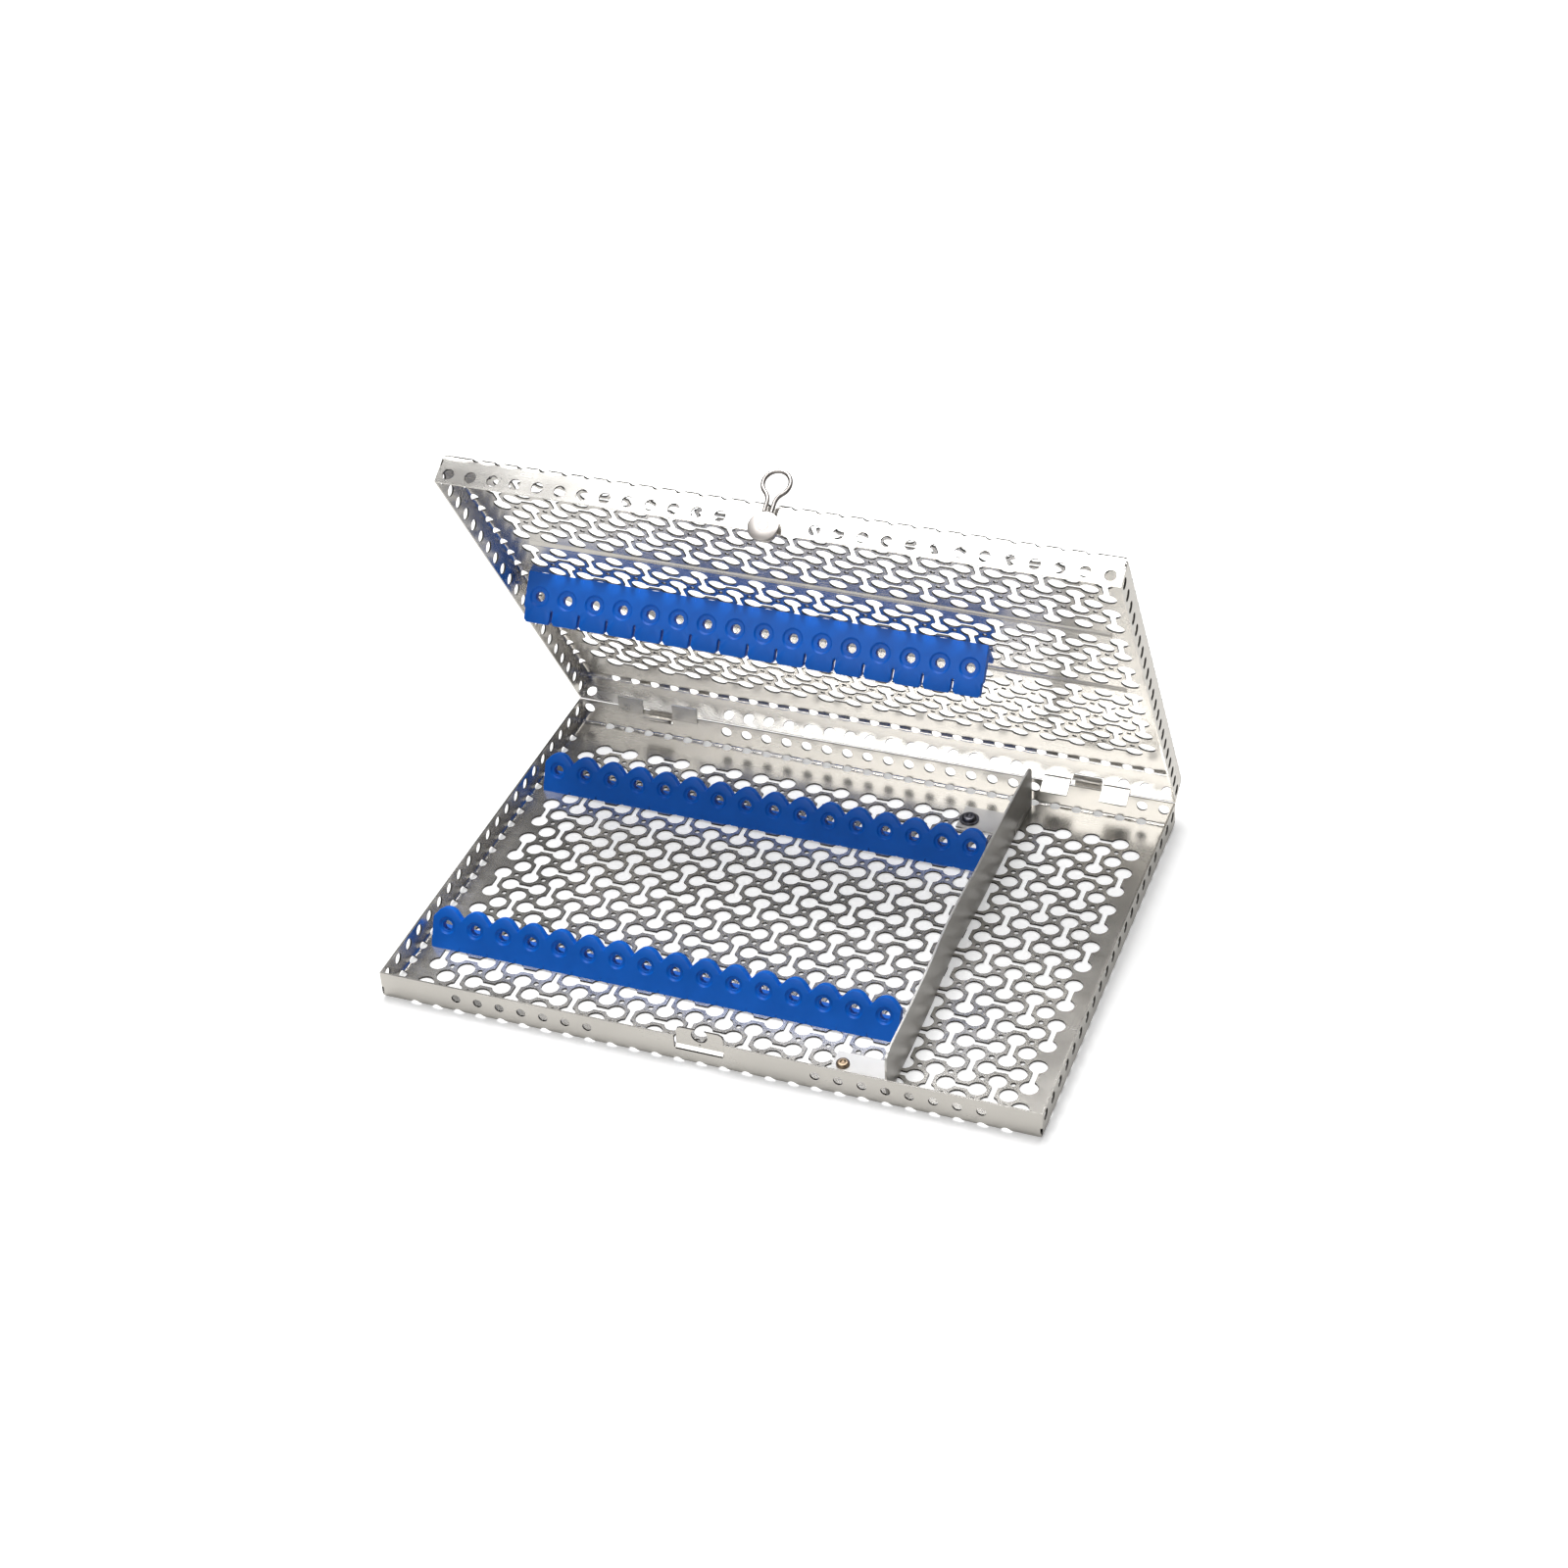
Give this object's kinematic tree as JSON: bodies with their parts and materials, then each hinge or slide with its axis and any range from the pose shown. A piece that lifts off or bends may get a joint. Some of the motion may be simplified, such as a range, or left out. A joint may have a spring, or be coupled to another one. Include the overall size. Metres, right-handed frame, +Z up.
{
  "type": "instrument cassette",
  "caption": "Perforated steel tray with a hinged lid, silicone instrument racks, a curved divider strip and a quarter-turn latch with a wire loop.",
  "frame": {"origin": "centre of the base tray's underside, on the surface it rests on", "axes": "+X along the hinge to the right, +Y from the front wall to the hinge wall, +Z up"},
  "size_m": [0.2794, 0.2137, 0.2035],
  "materials": {
    "tray_steel": "satin electropolished",
    "strip_steel": "satin",
    "silicone": "matte",
    "front_rivet": "satin",
    "rear_rivet": "dark satin",
    "latch_steel": "polished"
  },
  "bodies": {
    "base": {"base_tray": "tray_steel", "base_front_rack": "silicone", "base_rear_rack": "silicone", "compartment_divider": "strip_steel", "divider_front_rivet": "front_rivet", "divider_rear_rivet": "rear_rivet", "divider_rear_washer": "rear_rivet"},
    "lid": {"lid_tray": "tray_steel", "lid_rack": "silicone"},
    "latch": {"latch_disc": "latch_steel", "latch_washer": "latch_steel", "latch_stud": "latch_steel", "latch_wire_loop": "latch_steel"}
  },
  "joints": [
    {"name": "lid_hinge", "type": "hinge", "parent": "base", "child": "lid", "pos_m": [0, 0.1016, 0.01315], "axis": [-1, 0, 0], "range_deg": [-59, 61]},
    {"name": "latch_turn", "type": "hinge", "parent": "lid", "child": "latch", "pos_m": [0, -0.0019, 0.18802], "axis": [0, -0.515, 0.8572], "range_deg": [-90, 0]}
  ]
}
